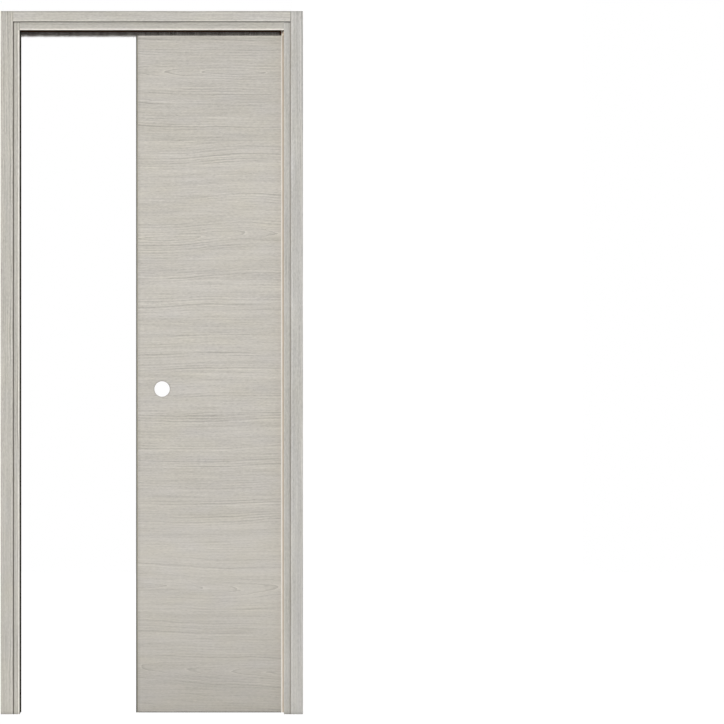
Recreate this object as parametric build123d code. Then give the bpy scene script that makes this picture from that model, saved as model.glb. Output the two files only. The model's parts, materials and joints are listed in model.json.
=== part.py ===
from build123d import *
import os

# Pocket door trim kit: a closing jamb, split pocket jambs and split head boards for a wall of
# plasterboard thickness, butt jointed casings on both faces, rubber lips, head brushes, and the
# top hung leaf that runs in a header track and slides back into the wall.
# The origin is on the outer face of the closing jamb, at floor level, in the middle of the wall.
# X runs from the closing jamb to the pocket, Y to the back, Z up. All sizes are in millimetres.

# Passage and wall

passage_width = 785.0
passage_height = 2033.0
wall_thickness = 100.0

# Leaf

leaf_thickness = 40.0
leaf_rest_opening = 345.5
leaf_side_clearance = 5.5
leaf_lap = 10.0
leaf_end_clearance = 5.0
leaf_pocket_lap = 35.0
leaf_head_lap = 12.0
leaf_floor_clearance = 5.0
skin_thickness = 3.2
lead_lipping = 6.0
tail_lipping = 2.0
lipping_radius = 4.0
stile_width = 110.0
rail_height = 110.0
guide_groove_width = 10.0
guide_groove_depth = 20.0

# Handle bore

bore_diameter = 46.0
bore_setback = 77.1
bore_height = 967.0

# Jambs and head boards

jamb_thickness = 30.0
jamb_band_width = 18.8
head_board_thickness = 36.0
head_band_width = 25.3
band_projection = 4.0
quirk = 1.5
band_radius = 1.2
slot_radius = 1.0

# Casings

casing_thickness = 10.0
side_casing_width = 36.7
head_casing_width = 31.0
casing_outer_radius = 2.0
casing_inner_radius = 1.2
tongue_thickness = 4.0
tongue_length = 12.0
tongue_setback = 3.0
tongue_chamfer = 0.6
casing_joint_gap = 0.3
groove_spare_depth = 1.0
bearing_width = 9.0
relief_depth = 1.0
relief_setback = 0.5

# Lips and brushes

leaf_touch_gap = 0.4
kerf_width = 3.0
kerf_depth = 6.0
stem_length = 5.4
stem_core_width = 1.4
stem_barbs = 3
lip_kerf_offset = 3.5
lip_flange_thickness = 1.4
lip_flange_overlap = 2.0
lip_tip_thickness = 1.0
lip_bead_radius = 0.8
closing_lip_reach = 3.6
pocket_lip_reach = 8.2
brush_kerf_offset = 5.5
carrier_height = 4.6
carrier_overlap = 2.6
carrier_end_length = 3.9
carrier_end_drop = 13.3
carrier_end_gap = 0.3
pile_length = 12.7
pile_root_width = 4.0
pile_tip_width = 3.2

# Header track

track_height = 34.0
track_wall = 2.5
track_top_wall = 3.0
track_above_leaf = 11.0
track_slot_width = 18.0
track_end_gap = 2.0
track_tail_length = 15.0
track_corner_radius = 1.5
track_hole_diameter = 5.0
track_hole_pitch = 300.0
track_hole_inset = 70.0

# Hangers

hanger_inset = 165.0
carriage_length = 64.0
carriage_width = 15.0
carriage_height = 14.2
carriage_radius = 3.0
wheel_diameter = 22.0
wheel_width = 7.0
wheel_gap = 2.0
wheel_lift = 0.3
axle_diameter = 6.0
axle_spacing = 40.0
bolt_diameter = 8.0
bolt_head_width = 13.0
bolt_head_height = 4.5
bolt_below_plate = 12.0
nut_height = 5.0
plate_length = 70.0
plate_width = 26.0
plate_thickness = 4.0
plate_hole_diameter = 4.5
plate_hole_spacing = 52.0
bolt_pocket_diameter = 14.0
bolt_pocket_spare = 6.0

# Track stops and floor guide

stop_length = 22.0
stop_height = 18.0
buffer_length = 6.0
buffer_width = 14.0
buffer_height = 10.0
stop_gap = 0.5
guide_fin_width = 6.0
guide_fin_height = 19.0
guide_length = 16.0
guide_base_thickness = 2.0
guide_setback = 2.0

# Fits

fit_clearance = 0.1

# Derived places across the passage, measured along X

jamb_x = jamb_thickness
pocket_x = jamb_x + passage_width
pocket_outer_x = pocket_x + jamb_thickness
band_x = jamb_x - jamb_band_width
casing_inner_x = band_x - quirk
casing_outer_x = casing_inner_x - side_casing_width
slot_floor_x = jamb_x - leaf_lap - leaf_end_clearance
leaf_width = leaf_lap + passage_width + leaf_pocket_lap
leaf_x = jamb_x + leaf_rest_opening
leaf_tail_x = leaf_x + leaf_width
leaf_closed_x = jamb_x - leaf_lap
leaf_open_x = pocket_x

# Derived places through the wall, measured from its middle

slot_y = leaf_thickness / 2 + leaf_side_clearance
face_y = wall_thickness / 2
band_y = face_y + band_projection
casing_y = face_y + casing_thickness
core_y = leaf_thickness / 2 - skin_thickness
touch_y = leaf_thickness / 2 + leaf_touch_gap

# Derived heights

head_z = passage_height
head_top_z = head_z + head_board_thickness
head_band_z = head_z + head_band_width
head_casing_z = head_band_z + quirk
top_z = head_casing_z + head_casing_width
leaf_z = leaf_floor_clearance
leaf_top_z = head_z + leaf_head_lap
track_z = leaf_top_z + track_above_leaf
track_floor_z = track_z + track_wall
track_top_z = track_z + track_height
wheel_y = carriage_width / 2 + wheel_gap + wheel_width / 2
axle_z = track_floor_z + wheel_lift + wheel_diameter / 2
carriage_z = axle_z + axle_diameter - carriage_height

os.makedirs("parts", exist_ok=True)


def save(shape, name, color):
    """Write one sub-part as its own STEP file."""
    shape.label = name
    shape.color = color
    export_step(shape, f"parts/{name}.step")


def rectangle(u0, v0, u1, v1):
    """A flat rectangle between two corners."""
    return Pos((u0 + u1) / 2, (v0 + v1) / 2) * Rectangle(abs(u1 - u0), abs(v1 - v0))


def block(low, high):
    """A box between its lowest and highest corners."""
    size = [b - a for a, b in zip(low, high)]
    middle = [(a + b) / 2 for a, b in zip(low, high)]
    return Pos(*middle) * Box(*size)


def ease(outline, corners, radius):
    """Round the corners of a flat outline that lie at the given places."""
    picked = [outline.vertices().sort_by_distance((u, v, 0))[0] for u, v in corners]
    return fillet(picked, radius)


def upright(outline, bottom, top):
    """Raise a flat X-Y outline from one height to another."""
    return Pos(0, 0, bottom) * extrude(outline, amount=top - bottom, dir=(0, 0, 1))


def lengthwise(outline, start, end):
    """Run an outline drawn in Y and Z along X from one place to another."""
    return Plane((start, 0, 0), x_dir=(0, 1, 0), z_dir=(1, 0, 0)) * extrude(
        outline, amount=end - start, dir=(0, 0, 1)
    )


def to_back(shape):
    """The same piece on the other face of the wall."""
    return mirror(shape, about=Plane.XZ)


def to_pocket(shape):
    """A piece of the closing side, turned about to face it from the pocket side."""
    middle_x = pocket_outer_x / 2
    return mirror(shape, about=Plane((middle_x, 0, 0), x_dir=(0, 1, 0), z_dir=(1, 0, 0)))


def tongue_groove(side):
    """The groove in a jamb that takes the tongue of its casing, as a flat X-Y outline."""
    near = tongue_setback - fit_clearance
    far = tongue_setback + tongue_thickness + fit_clearance
    depth = tongue_length + groove_spare_depth
    return rectangle(near, side * (face_y - depth), far, side * face_y)


def lip_kerf(side):
    """The kerf beside the leaf slot that holds a lip, as a flat X-Y outline."""
    near = slot_y + lip_kerf_offset
    return rectangle(jamb_x - kerf_depth, side * near, jamb_x, side * (near + kerf_width))


def make_closing_jamb():
    """The jamb that the leaf closes into, with its full height slot."""
    outline = rectangle(0, -face_y, jamb_x, face_y) + rectangle(band_x, -band_y, jamb_x, band_y)
    outline -= rectangle(slot_floor_x, -slot_y, jamb_x, slot_y)
    arrises = [(jamb_x, band_y), (jamb_x, -band_y), (band_x, band_y), (band_x, -band_y)]
    outline = ease(outline, arrises, band_radius)
    outline = ease(outline, [(jamb_x, slot_y), (jamb_x, -slot_y)], slot_radius)
    for side in (-1, 1):
        outline -= tongue_groove(side)
        outline -= lip_kerf(side)
    jamb = upright(outline, 0, head_top_z)
    for side in (-1, 1):
        jamb -= head_casing_rebate(side)
    return jamb


def head_casing_rebate(side):
    """What is cut from the top of a jamb's band so that the head casing can pass over it."""
    near, far = sorted((side * face_y, side * (band_y + 1)))
    return block((0, near, head_band_z), (jamb_x + 1, far, head_top_z + 1))


def make_pocket_jamb_front():
    """The front half of the split jamb at the mouth of the pocket, drawn on the closing side."""
    outline = rectangle(0, -face_y, jamb_x, -slot_y) + rectangle(band_x, -band_y, jamb_x, -slot_y)
    outline = ease(outline, [(jamb_x, -band_y), (band_x, -band_y)], band_radius)
    outline = ease(outline, [(jamb_x, -slot_y)], slot_radius)
    outline -= tongue_groove(-1)
    outline -= lip_kerf(-1)
    jamb = upright(outline, 0, head_top_z) - head_casing_rebate(-1)
    return to_pocket(jamb)


def make_head_board_front():
    """The front half of the split head, between the jambs."""
    outline = rectangle(-face_y, head_z, -slot_y, head_top_z)
    outline += rectangle(-band_y, head_z, -slot_y, head_band_z)
    outline = ease(outline, [(-band_y, head_z), (-band_y, head_band_z)], band_radius)
    outline = ease(outline, [(-slot_y, head_z)], slot_radius)
    groove_top = head_top_z - tongue_setback + fit_clearance
    groove_bottom = groove_top - tongue_thickness - 2 * fit_clearance
    groove_depth = tongue_length + groove_spare_depth
    outline -= rectangle(-face_y, groove_bottom, groove_depth - face_y, groove_top)
    kerf_y = slot_y + brush_kerf_offset
    outline -= rectangle(-kerf_y - kerf_width, head_z, -kerf_y, head_z + kerf_depth)
    return lengthwise(outline, jamb_x, pocket_x)


def make_side_casing_front():
    """The full height casing of the closing side, with the tongue on its back."""
    board = rectangle(casing_outer_x, -casing_y, casing_inner_x, -face_y)
    board = ease(board, [(casing_outer_x, -casing_y)], casing_outer_radius)
    board = ease(board, [(casing_inner_x, -casing_y)], casing_inner_radius)
    relief_y = -face_y - relief_depth
    board -= rectangle(casing_outer_x + bearing_width, relief_y, -relief_setback, -face_y)
    tongue_tip = tongue_length - face_y
    tongue_far = tongue_setback + tongue_thickness
    tongue = rectangle(tongue_setback, -face_y, tongue_far, tongue_tip)
    tongue = chamfer(tongue.vertices().group_by(Axis.Y)[-1], tongue_chamfer)
    return upright(board, 0, top_z) + upright(tongue, 0, head_top_z)


def make_head_casing_front():
    """The casing between the two side casings, with the tongue on its back."""
    board = rectangle(-casing_y, head_casing_z, -face_y, top_z)
    board = ease(board, [(-casing_y, top_z)], casing_outer_radius)
    board = ease(board, [(-casing_y, head_casing_z)], casing_inner_radius)
    relief_y = -face_y - relief_depth
    board -= rectangle(relief_y, head_top_z + relief_setback, -face_y, top_z - bearing_width)
    tongue_top = head_top_z - tongue_setback
    tongue_tip = tongue_length - face_y
    tongue = rectangle(-face_y, tongue_top - tongue_thickness, tongue_tip, tongue_top)
    tongue = chamfer(tongue.vertices().group_by(Axis.X)[-1], tongue_chamfer)
    board_x = casing_inner_x + casing_joint_gap
    board = lengthwise(board, board_x, pocket_outer_x - board_x)
    return board + lengthwise(tongue, jamb_x, pocket_x)


def barbed_stem():
    """The outline of a seal's stem, which points along X from its root into the kerf."""
    core = stem_core_width / 2
    barb = kerf_width / 2 - fit_clearance
    pitch = stem_length / (stem_barbs + 1)
    side = [(0, core)]
    for i in range(1, stem_barbs + 1):
        side.append((i * pitch, core))
        side.append((i * pitch, barb))
    side.append((stem_length, core))
    other_side = [(u, -v) for u, v in reversed(side)]
    return make_face(Polyline(*side, *other_side, close=True))


def make_lip_front(reach):
    """A rubber lip of the closing side: a stem, a flange, and a slanting blade with a bead."""
    kerf_y = slot_y + lip_kerf_offset
    flange_near = kerf_y - lip_flange_overlap
    flange_far = kerf_y + kerf_width + lip_flange_overlap
    stem = Pos(jamb_x, -kerf_y - kerf_width / 2) * Rotation(0, 0, 180) * barbed_stem()
    flange_x = jamb_x + lip_flange_thickness
    flange = rectangle(jamb_x, -flange_far, flange_x, -flange_near)
    blade = Polyline(
        (jamb_x, -flange_near),
        (flange_x, -flange_near),
        (jamb_x + reach, -touch_y),
        (jamb_x + reach - lip_tip_thickness, -touch_y),
        close=True,
    )
    section = flange + make_face(blade) + stem
    section = ease(section, [(flange_x, -flange_far)], lip_flange_thickness / 2)
    section += Pos(jamb_x + reach - lip_bead_radius, -touch_y - lip_bead_radius) * Circle(lip_bead_radius)
    return upright(section, leaf_floor_clearance, head_z)


def make_brush_carrier_front():
    """The plastic strip under the head board that grips the pile, with its turned down end."""
    kerf_y = slot_y + brush_kerf_offset
    near = kerf_y - carrier_overlap
    far = kerf_y + kerf_width + carrier_overlap
    stem = Pos(-kerf_y - kerf_width / 2, head_z) * Rotation(0, 0, 90) * barbed_stem()
    strip = rectangle(-far, head_z - carrier_height, -near, head_z)
    strip = ease(strip, [(-far, head_z - carrier_height)], carrier_height / 3)
    carrier = lengthwise(strip + stem, brush_start_x(), brush_end_x())
    end_low = (brush_end_x(), -far, head_z - carrier_end_drop)
    end_high = (brush_end_x() + carrier_end_length, -touch_y, head_z)
    return carrier + block(end_low, end_high)


def make_brush_pile_front():
    """The pile as one slanting solid, from the carrier down to the face of the leaf."""
    root_z = head_z - carrier_height
    tip_z = root_z - pile_length
    root_y = slot_y + brush_kerf_offset + kerf_width / 2
    pile = Polyline(
        (-root_y - pile_root_width / 2, root_z),
        (-root_y + pile_root_width / 2, root_z),
        (-touch_y, tip_z),
        (-touch_y - pile_tip_width, tip_z),
        close=True,
    )
    return lengthwise(make_face(pile), brush_start_x(), brush_end_x())


def brush_start_x():
    """Where the head brushes begin, just clear of the closing lips."""
    return jamb_x + closing_lip_reach + fit_clearance


def brush_end_x():
    """Where the pile ends, short of the pocket lips."""
    return pocket_x - pocket_lip_reach - carrier_end_gap - carrier_end_length


def track_start_x():
    """Where the track begins, inside the slot of the closing jamb."""
    return slot_floor_x + track_end_gap


def track_end_x():
    """Where the track ends, past the tail of the leaf when it is fully open."""
    return leaf_open_x + leaf_width + track_tail_length


def make_track():
    """The extruded header track: a box with a slot along the middle of its floor."""
    shell = rectangle(-slot_y, track_z, slot_y, track_top_z)
    shell = fillet(shell.vertices(), track_corner_radius)
    inner_y = slot_y - track_wall
    cavity = rectangle(-inner_y, track_floor_z, inner_y, track_top_z - track_top_wall)
    cavity = fillet(cavity.vertices(), track_corner_radius)
    slot = rectangle(-track_slot_width / 2, track_z, track_slot_width / 2, track_floor_z)
    track = lengthwise(shell - cavity - slot, track_start_x(), track_end_x())
    run = track_end_x() - track_start_x() - 2 * track_hole_inset
    count = int(run // track_hole_pitch) + 1
    for i in range(count):
        place = Pos(track_start_x() + track_hole_inset + i * track_hole_pitch, 0, track_top_z)
        track -= place * Cylinder(track_hole_diameter / 2, 4 * track_top_wall)
    return track


def make_track_stop(face_x, facing):
    """A clamped stop block in the track, with a rubber buffer towards the carriage."""
    back_x = face_x - facing * (stop_length + buffer_length)
    nose_x = face_x - facing * buffer_length
    inner_y = slot_y - track_wall - track_corner_radius
    low_x, high_x = sorted((back_x, nose_x))
    body = block((low_x, -inner_y, track_floor_z), (high_x, inner_y, track_floor_z + stop_height))
    buffer_low, buffer_high = sorted((nose_x, face_x))
    middle_z = track_floor_z + stop_height / 2
    buffer = block(
        (buffer_low, -buffer_width / 2, middle_z - buffer_height / 2),
        (buffer_high, buffer_width / 2, middle_z + buffer_height / 2),
    )
    return body + buffer


def make_carriage(x):
    """A hanger's carriage block with its two cross axles."""
    low = (x - carriage_length / 2, -carriage_width / 2, carriage_z)
    high = (x + carriage_length / 2, carriage_width / 2, carriage_z + carriage_height)
    body = block(low, high)
    body = fillet(body.edges().filter_by(Axis.Y), carriage_radius)
    body -= Pos(x, 0, carriage_z) * Cylinder(bolt_diameter / 2 + fit_clearance, 4 * carriage_height)
    axle_length = 2 * wheel_y + wheel_width
    for side in (-1, 1):
        place = Pos(x + side * axle_spacing / 2, 0, axle_z) * Rotation(90, 0, 0)
        body += place * Cylinder(axle_diameter / 2, axle_length)
    return body


def make_wheel():
    """A wheel about the Z axis, bored to turn on its axle."""
    bore_r = axle_diameter / 2 + fit_clearance
    tread = Circle(wheel_diameter / 2) - Circle(bore_r)
    return extrude(tread, wheel_width / 2, both=True)


def make_wheels(x):
    """The four wheels of a hanger, apart from each other on its two axles."""
    wheels = []
    for along in (-1, 1):
        for across in (-1, 1):
            place = Pos(x + along * axle_spacing / 2, across * wheel_y, axle_z)
            wheels.append(place * Rotation(90, 0, 0) * make_wheel())
    return Compound(children=wheels)


def hexagon_prism(width, bottom, height):
    """A nut or bolt head of a given width across flats."""
    outline = RegularPolygon(width / 2, 6, major_radius=False)
    return upright(outline, bottom, bottom + height)


def make_hanger_bolt(x):
    """The bolt that carries the leaf from the carriage, with its lock nut on the plate."""
    carriage_top = carriage_z + carriage_height
    bottom = leaf_top_z - plate_thickness - bolt_below_plate
    shank = upright(Circle(bolt_diameter / 2), bottom, carriage_top)
    head = hexagon_prism(bolt_head_width, carriage_top, bolt_head_height)
    nut = hexagon_prism(bolt_head_width, leaf_top_z, nut_height)
    return Pos(x, 0, 0) * (shank + head + nut)


def plate_outline(clearance):
    """The round ended outline of a hanger plate, or of its recess."""
    return SlotOverall(plate_length + 2 * clearance, plate_width + 2 * clearance)


def make_hanger_plate(x):
    """The steel plate let into the top of the leaf, flush with it."""
    outline = plate_outline(0)
    outline -= Circle(bolt_diameter / 2 + fit_clearance)
    for side in (-1, 1):
        outline -= Pos(side * plate_hole_spacing / 2, 0) * Circle(plate_hole_diameter / 2)
    return Pos(x, 0, 0) * upright(outline, leaf_top_z - plate_thickness, leaf_top_z)


def hanger_recess(x):
    """What is cut from the top rail for a hanger's plate and the end of its bolt."""
    recess_z = leaf_top_z - plate_thickness
    pocket_z = recess_z - bolt_below_plate - bolt_pocket_spare
    recess = upright(plate_outline(fit_clearance), recess_z, leaf_top_z + 1)
    pocket = upright(Circle(bolt_pocket_diameter / 2), pocket_z, recess_z)
    return Pos(x, 0, 0) * (recess + pocket)


def handle_bore():
    """The round hole through the leaf for a handle."""
    place = Pos(leaf_x + bore_setback, 0, bore_height) * Rotation(90, 0, 0)
    return place * Cylinder(bore_diameter / 2, 2 * leaf_thickness)


def guide_groove():
    """The groove in the bottom of the leaf, open at the tail, that runs over the floor guide."""
    half = guide_groove_width / 2
    low = (leaf_x + lead_lipping, -half, leaf_z - 1)
    return block(low, (leaf_tail_x + 1, half, leaf_z + guide_groove_depth))


def make_leaf_stile(start):
    """One upright of the leaf's inner frame."""
    low = (start, -core_y, leaf_z)
    return block(low, (start + stile_width, core_y, leaf_top_z)) - guide_groove()


def make_leaf_rail_top():
    """The rail that takes the hangers."""
    low = (frame_start_x() + stile_width, -core_y, leaf_top_z - rail_height)
    rail = block(low, (frame_end_x() - stile_width, core_y, leaf_top_z))
    for x in hanger_places():
        rail -= hanger_recess(x)
    return rail


def make_leaf_rail_bottom():
    """The rail that is grooved for the floor guide."""
    low = (frame_start_x() + stile_width, -core_y, leaf_z)
    rail = block(low, (frame_end_x() - stile_width, core_y, leaf_z + rail_height))
    return rail - guide_groove()


def make_leaf_core():
    """The board that fills the leaf's inner frame."""
    low = (frame_start_x() + stile_width, -core_y, leaf_z + rail_height)
    return block(low, (frame_end_x() - stile_width, core_y, leaf_top_z - rail_height))


def make_leaf_skin_front():
    """The front face of the leaf."""
    low = (frame_start_x(), -leaf_thickness / 2, leaf_z)
    return block(low, (frame_end_x(), -core_y, leaf_top_z)) - handle_bore()


def make_lipping(start, end, rounded_x):
    """A lipping over the whole thickness of the leaf, with its outer arrises rounded."""
    half = leaf_thickness / 2
    outline = rectangle(start, -half, end, half)
    radius = min(lipping_radius, 0.9 * (end - start))
    outline = ease(outline, [(rounded_x, -half), (rounded_x, half)], radius)
    return upright(outline, leaf_z, leaf_top_z)


def frame_start_x():
    """Where the leaf's inner frame begins, behind the lead lipping."""
    return leaf_x + lead_lipping


def frame_end_x():
    """Where the leaf's inner frame ends, before the tail lipping."""
    return leaf_tail_x - tail_lipping


def hanger_places():
    """Where the two hangers stand along the leaf at rest."""
    return leaf_x + hanger_inset, leaf_tail_x - hanger_inset


def make_floor_guide():
    """The fin on a base plate between the feet of the pocket jambs."""
    end_x = pocket_outer_x - guide_setback
    start_x = end_x - guide_length
    base = block((start_x, -slot_y, 0), (end_x, slot_y, guide_base_thickness))
    half = guide_fin_width / 2
    fin = block((start_x, -half, 0), (end_x, half, guide_fin_height))
    top_edges = fin.edges().filter_by(Axis.X).group_by(Axis.Z)[-1]
    return base + fillet(top_edges, half * 0.9)


laminate = Color(0.75, 0.73, 0.69)
leaf_laminate = Color(0.78, 0.76, 0.73)
raw_board = Color(0.66, 0.56, 0.42)
brown_rubber = Color(0.15, 0.11, 0.07)
tan_rubber = Color(0.79, 0.73, 0.67)
dark_plastic = Color(0.14, 0.10, 0.07)
dark_pile = Color(0.28, 0.27, 0.26)
bare_aluminium = Color(0.78, 0.79, 0.80)
plated_steel = Color(0.62, 0.63, 0.64)
white_nylon = Color(0.88, 0.88, 0.86)
grey_plastic = Color(0.45, 0.45, 0.45)

# Jambs, head boards and casings

save(make_closing_jamb(), "closing_jamb", laminate)

pocket_jamb = make_pocket_jamb_front()
save(pocket_jamb, "pocket_jamb_front", laminate)
save(to_back(pocket_jamb), "pocket_jamb_back", laminate)

head_board = make_head_board_front()
save(head_board, "head_board_front", laminate)
save(to_back(head_board), "head_board_back", laminate)

side_casing = make_side_casing_front()
save(side_casing, "casing_front_closing", laminate)
save(to_pocket(side_casing), "casing_front_pocket", laminate)
save(to_back(side_casing), "casing_back_closing", laminate)
save(to_back(to_pocket(side_casing)), "casing_back_pocket", laminate)

head_casing = make_head_casing_front()
save(head_casing, "casing_front_head", laminate)
save(to_back(head_casing), "casing_back_head", laminate)

# Lips and brushes

closing_lip = make_lip_front(closing_lip_reach)
save(closing_lip, "closing_lip_front", brown_rubber)
save(to_back(closing_lip), "closing_lip_back", brown_rubber)

pocket_lip = to_pocket(make_lip_front(pocket_lip_reach))
save(pocket_lip, "pocket_lip_front", tan_rubber)
save(to_back(pocket_lip), "pocket_lip_back", tan_rubber)

brush_carrier = make_brush_carrier_front()
save(brush_carrier, "head_brush_carrier_front", dark_plastic)
save(to_back(brush_carrier), "head_brush_carrier_back", dark_plastic)

brush_pile = make_brush_pile_front()
save(brush_pile, "head_brush_pile_front", dark_pile)
save(to_back(brush_pile), "head_brush_pile_back", dark_pile)

# Track, stops and floor guide

save(make_track(), "track", bare_aluminium)

closed_stop_x = leaf_closed_x + hanger_inset - carriage_length / 2 - stop_gap
save(make_track_stop(closed_stop_x, 1), "track_stop_closing", grey_plastic)

open_stop_x = leaf_open_x + leaf_width - hanger_inset + carriage_length / 2 + stop_gap
save(make_track_stop(open_stop_x, -1), "track_stop_pocket", grey_plastic)

save(make_floor_guide(), "floor_guide", grey_plastic)

# Leaf and hangers

save(make_leaf_stile(frame_start_x()) - handle_bore(), "leaf_stile_lead", raw_board)
save(make_leaf_stile(frame_end_x() - stile_width), "leaf_stile_tail", raw_board)
save(make_leaf_rail_top(), "leaf_rail_top", raw_board)
save(make_leaf_rail_bottom(), "leaf_rail_bottom", raw_board)
save(make_leaf_core(), "leaf_core", raw_board)

leaf_skin = make_leaf_skin_front()
save(leaf_skin, "leaf_skin_front", leaf_laminate)
save(to_back(leaf_skin), "leaf_skin_back", leaf_laminate)

lead_edge = make_lipping(leaf_x, leaf_x + lead_lipping, leaf_x)
save(lead_edge, "leaf_lead_edge", leaf_laminate)
tail_edge = make_lipping(frame_end_x(), leaf_tail_x, leaf_tail_x) - guide_groove()
save(tail_edge, "leaf_tail_edge", leaf_laminate)

for end_name, hanger_x in zip(("lead", "tail"), hanger_places()):
    save(make_carriage(hanger_x), f"hanger_{end_name}_carriage", plated_steel)
    save(make_wheels(hanger_x), f"hanger_{end_name}_wheels", white_nylon)
    save(make_hanger_bolt(hanger_x), f"hanger_{end_name}_bolt", plated_steel)
    save(make_hanger_plate(hanger_x), f"hanger_{end_name}_plate", plated_steel)
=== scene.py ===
"""The looks of a pocket door trim kit: laminate, seals, brush hair, hardware and a plain studio."""

import json
import math

import bmesh
import bpy
import numpy as np
from mathutils import Matrix, Vector


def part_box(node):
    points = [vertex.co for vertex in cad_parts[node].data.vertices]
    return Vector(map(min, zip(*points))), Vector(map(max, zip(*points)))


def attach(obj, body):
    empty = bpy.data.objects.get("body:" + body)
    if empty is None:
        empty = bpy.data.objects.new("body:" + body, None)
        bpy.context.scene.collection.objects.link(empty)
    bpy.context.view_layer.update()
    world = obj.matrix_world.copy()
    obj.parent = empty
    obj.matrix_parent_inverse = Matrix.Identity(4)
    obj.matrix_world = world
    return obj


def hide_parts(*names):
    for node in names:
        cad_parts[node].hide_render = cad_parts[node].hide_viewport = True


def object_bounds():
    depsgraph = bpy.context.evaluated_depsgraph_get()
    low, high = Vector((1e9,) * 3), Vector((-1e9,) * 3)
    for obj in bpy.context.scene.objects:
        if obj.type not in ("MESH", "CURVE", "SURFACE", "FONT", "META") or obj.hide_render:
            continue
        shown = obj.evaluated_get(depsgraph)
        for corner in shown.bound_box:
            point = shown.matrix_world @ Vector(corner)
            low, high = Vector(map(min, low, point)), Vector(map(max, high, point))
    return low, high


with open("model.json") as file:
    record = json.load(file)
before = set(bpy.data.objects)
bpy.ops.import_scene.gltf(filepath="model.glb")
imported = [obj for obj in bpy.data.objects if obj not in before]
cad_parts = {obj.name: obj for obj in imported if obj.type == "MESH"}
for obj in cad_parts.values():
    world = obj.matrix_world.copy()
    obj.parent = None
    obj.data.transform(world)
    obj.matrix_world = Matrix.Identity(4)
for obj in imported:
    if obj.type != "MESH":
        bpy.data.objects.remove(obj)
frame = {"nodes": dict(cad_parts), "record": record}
nodes = frame["nodes"]
cad_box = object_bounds()

# Places in metres, most of them read from the frame, and the radius of the bore in millimetres

HAIRLINE = 0.0001
CASING_THICKNESS = 0.010

jamb_face_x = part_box("closing_jamb")[1].x
pocket_face_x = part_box("pocket_jamb_front")[0].x
pocket_outer_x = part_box("pocket_jamb_front")[1].x
casing_inner_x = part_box("casing_front_head")[0].x
head_casing_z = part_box("casing_front_head")[0].z
wall_face_y = -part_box("casing_front_closing")[0].y - CASING_THICKNESS
head_face_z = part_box("head_board_front")[0].z
casing_outer_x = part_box("casing_front_closing")[0].x
casing_top_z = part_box("casing_front_head")[1].z
pocket_casing_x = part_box("casing_front_head")[1].x
lip_tip_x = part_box("pocket_lip_front")[0].x
lip_top_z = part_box("pocket_lip_front")[1].z
leaf_low, leaf_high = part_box("leaf_skin_front")
lipping_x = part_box("leaf_lead_edge")[0].x
handle_bore = next(mount for mount in frame["record"]["mounts"] if mount["name"] == "handle_bore")
bore_place = Vector(handle_bore["pos_m"])
bore_radius_mm = handle_bore["dims"]["r_mm"]

X, Y, Z = 0, 1, 2
TO_MILLIMETRES = 1000


# Wood figure, in metres: boards as (heart line across the grain, eye along the grain, seam beyond)

OUT_OF_REACH = 9.0
STRAIGHT_BOARD = ((-0.55, 0.7, OUT_OF_REACH),)
LEAF_BOARDS = (
    (0.128, 0.860, 0.310),
    (0.381, 0.350, 0.494),
    (0.250, 0.800, 0.892),
    (0.800, 0.835, 1.294),
    (1.419, 0.460, 1.709),
    (1.915, 0.655, OUT_OF_REACH),
)
RING_SPACING = 0.0075
TRUNK_TILT = 0.065
HEART_DEPTH = 0.0008
WANDER_RATE = 1.7
WANDER_WIDTH = 0.075
STRAIGHT_WANDER_WIDTH = 0.015
EYE_WIDTH = 0.045
NEXT_BOARD_SHIFT = 3.7
NEXT_BOARD_RINGS = 53.0
BOARD_TONE_START = 17.3

# How bold a ring is, and the shares of it between which its dark late and pale early lines fade out

FAINT_RING = 0.13
BOLD_RING_RARITY = 3.0
HEART_BOLDNESS = 0.80
HEART_FADE = 0.80
LEAST_SLOPE = 0.40
LATE_LINE = (0.10, 0.45)
EARLY_LINE = (0.04, 0.34)
EARLY_PALENESS = 0.85

# Noise in the wood: changes to the metre along and across the grain, detail, roughness, distortion

FIGURE_NOISE = {
    "cloud": (3.0, 9.0, 2.0),
    "broad": (4.0, 40.0, 3.0, 0.55, 0.3),
    "streak": (7.0, 230.0, 3.0, 0.6, 0.3),
    "short": (90.0, 300.0, 2.0, 0.6, 0.4),
    "fibre": (90.0, 1500.0, 2.0, 0.6),
}
FADE_NOISE = (5.0, 26.0)
PORE_NOISE = (75.0, 520.0)
WASH_NOISE = (9.0, 26.0, 1.0)

# Waves as (noise, rings that it moves), and the parts of the noise that count

RING_WAVES = (((5.0, 15.0), 1.5), ((24.0, 80.0), 0.5))
FADE_SPAN = (0.38, 0.62)
FADE_LEAST = 0.15
PORE_SPAN = (0.62, 0.72)

# What each layer adds to the tone and to the relief, and how much calmer the figure is at the foot

FIGURE_SHARES = {"cloud": 0.16, "broad": 0.34, "streak": 0.73, "short": 0.70, "fibre": 0.35}
PORE_SHARE = -0.22
RING_SHARE = -0.42
BOARD_SHARE = 0.06
RELIEF_SHARES = {"fibre": 0.6, "streak": 0.6, "short": 0.4}
RING_RELIEF = -0.8
RELIEF_DEPTH = 0.00010
DARKEST_STEP = -34
LIGHTEST_STEP = 24
CALM_FOOT = 0.76
CALM_LOW = 0.50
CALM_HIGH = 0.80

# The other materials: rates are changes to the metre, and steps are steps of tone out of 255

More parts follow.
